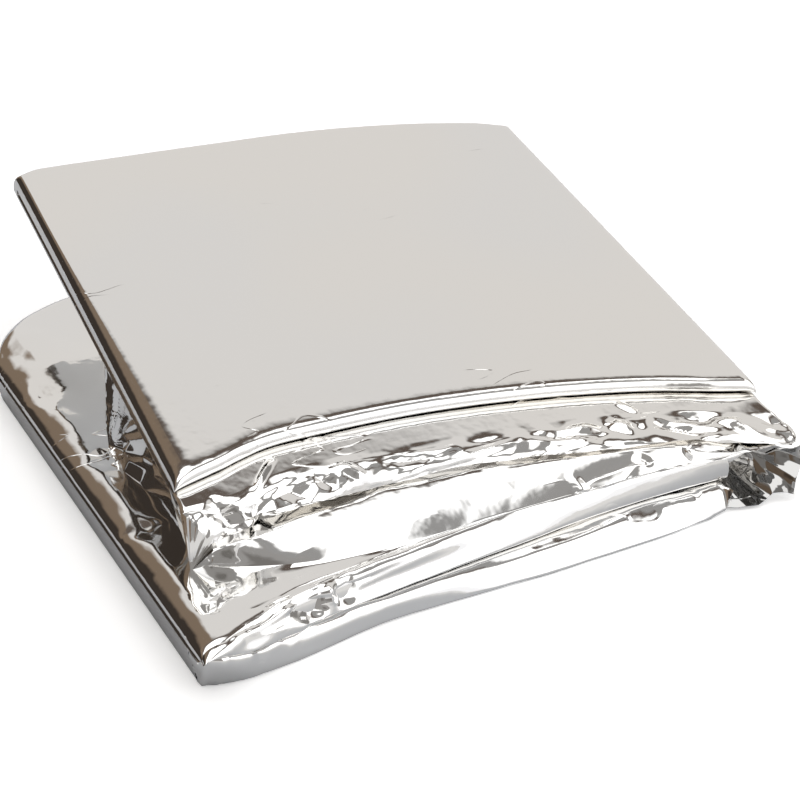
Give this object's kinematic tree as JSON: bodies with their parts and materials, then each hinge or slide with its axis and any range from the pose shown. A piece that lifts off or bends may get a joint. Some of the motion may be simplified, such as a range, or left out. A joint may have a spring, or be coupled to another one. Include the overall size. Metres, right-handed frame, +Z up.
{
  "type": "emergency foil blanket",
  "caption": "Mirror-bright silver film blanket folded to a near-square packet of springy bundles, its upper half lifted at the back like an opened book, with crumpled front folds.",
  "frame": {"origin": "middle of the packet's bounding box in X and Y, on the surface it lies on", "axes": "+X runs along the hinge fold to the right, +Y points from the hinge fold to the open back, +Z is up"},
  "size_m": [0.1488, 0.1544, 0.0455],
  "materials": {
    "foil": "thin polyester film with a vacuum coating of aluminium, mirror bright and silver on both faces, flat on the leaves and finely crumpled at the folds"
  },
  "bodies": {
    "root": {"foil_blanket": "foil"}
  },
  "joints": []
}
